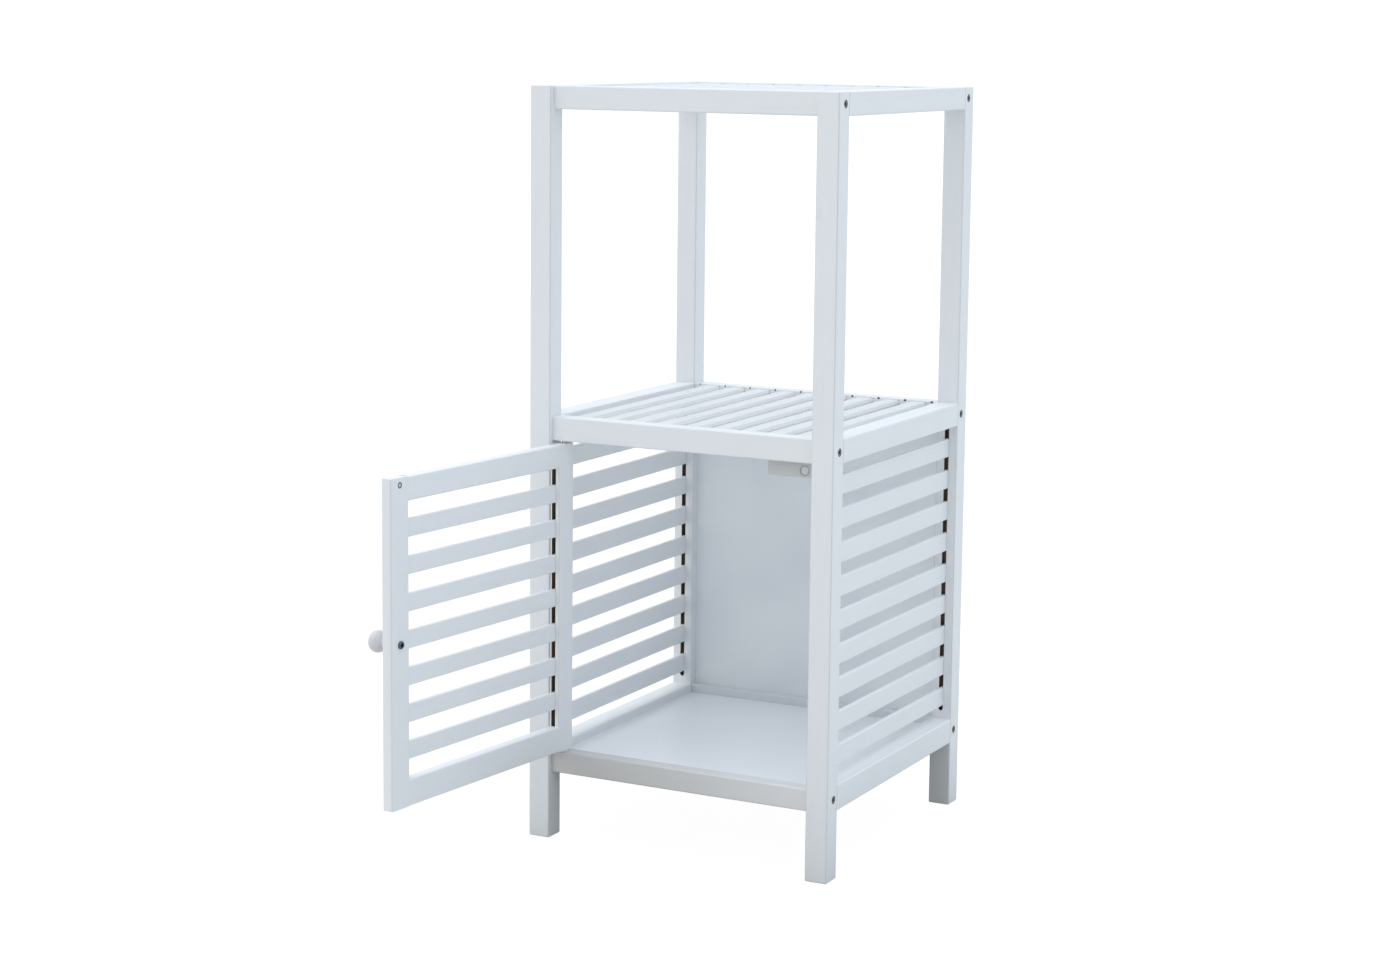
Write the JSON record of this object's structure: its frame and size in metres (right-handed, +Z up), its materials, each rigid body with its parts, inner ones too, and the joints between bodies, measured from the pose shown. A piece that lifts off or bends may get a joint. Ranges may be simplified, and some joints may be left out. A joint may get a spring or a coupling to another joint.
{
  "type": "bathroom cabinet",
  "caption": "Narrow free-standing slatted cabinet on tall square legs, with an open bay above and a closed compartment behind a hinged slatted door below.",
  "frame": {"origin": "centre of the four legs' footprint, on the floor", "axes": "+X to the cabinet's right seen from the front, +Y to its back, +Z up"},
  "size_m": [0.3854, 0.6436, 0.82],
  "materials": {
    "painted_wood": "white satin paint on solid wood",
    "painted_board": "white semi-gloss paint on thin fibreboard",
    "knob_wood": "white gloss paint on turned wood",
    "dowel_wood": "bare beech",
    "frame_screw_steel": "dull zinc-plated steel",
    "bright_steel": "zinc-plated steel",
    "black_steel": "blackened steel",
    "magnet": "nickel-plated magnet",
    "catch_plastic": "matte white plastic",
    "washer_plastic": "matte nylon"
  },
  "bodies": {
    "cabinet": {"back_board": "painted_board", "bottom_back_rail": "painted_wood", "bottom_front_rail": "painted_wood", "bottom_side_rail_left": "painted_wood", "bottom_side_rail_right": "painted_wood", "catch_block": "painted_wood", "catch_magnet": "magnet", "catch_sleeve": "catch_plastic", "cross_rail_dowels": "dowel_wood", "floor_board": "painted_board", "frame_screws": "frame_screw_steel", "hinge_pin_lower": "bright_steel", "hinge_pin_upper": "bright_steel", "hinge_washer": "washer_plastic", "leg_back_left": "painted_wood", "leg_back_right": "painted_wood", "leg_front_left": "painted_wood", "leg_front_right": "painted_wood", "middle_back_rail": "painted_wood", "middle_front_rail": "painted_wood", "middle_side_rail_left": "painted_wood", "middle_side_rail_right": "painted_wood", "shelf_slat_1": "painted_wood", "shelf_slat_2": "painted_wood", "shelf_slat_3": "painted_wood", "shelf_slat_4": "painted_wood", "shelf_slat_5": "painted_wood", "shelf_slat_6": "painted_wood", "shelf_slat_7": "painted_wood", "shelf_slat_8": "painted_wood", "shelf_slat_9": "painted_wood", "side_rail_dowels": "dowel_wood", "side_slats_left": "painted_wood", "side_slats_right": "painted_wood", "top_back_rail": "painted_wood", "top_front_rail": "painted_wood", "top_side_rail_left": "painted_wood", "top_side_rail_right": "painted_wood", "top_slats": "painted_wood"},
    "door": {"door_bottom_rail": "painted_wood", "door_dowels": "dowel_wood", "door_free_stile": "painted_wood", "door_hinge_stile": "painted_wood", "door_knob": "knob_wood", "door_slat_1": "painted_wood", "door_slat_2": "painted_wood", "door_slat_3": "painted_wood", "door_slat_4": "painted_wood", "door_slat_5": "painted_wood", "door_slat_6": "painted_wood", "door_slat_7": "painted_wood", "door_top_rail": "painted_wood", "knob_screw": "black_steel", "strike_screw": "bright_steel"}
  },
  "joints": [
    {"name": "door_hinge", "type": "hinge", "parent": "cabinet", "child": "door", "pos_m": [-0.144, -0.16775, 0.268], "axis": [0, 0, 1], "range_deg": [-14, 96]}
  ]
}
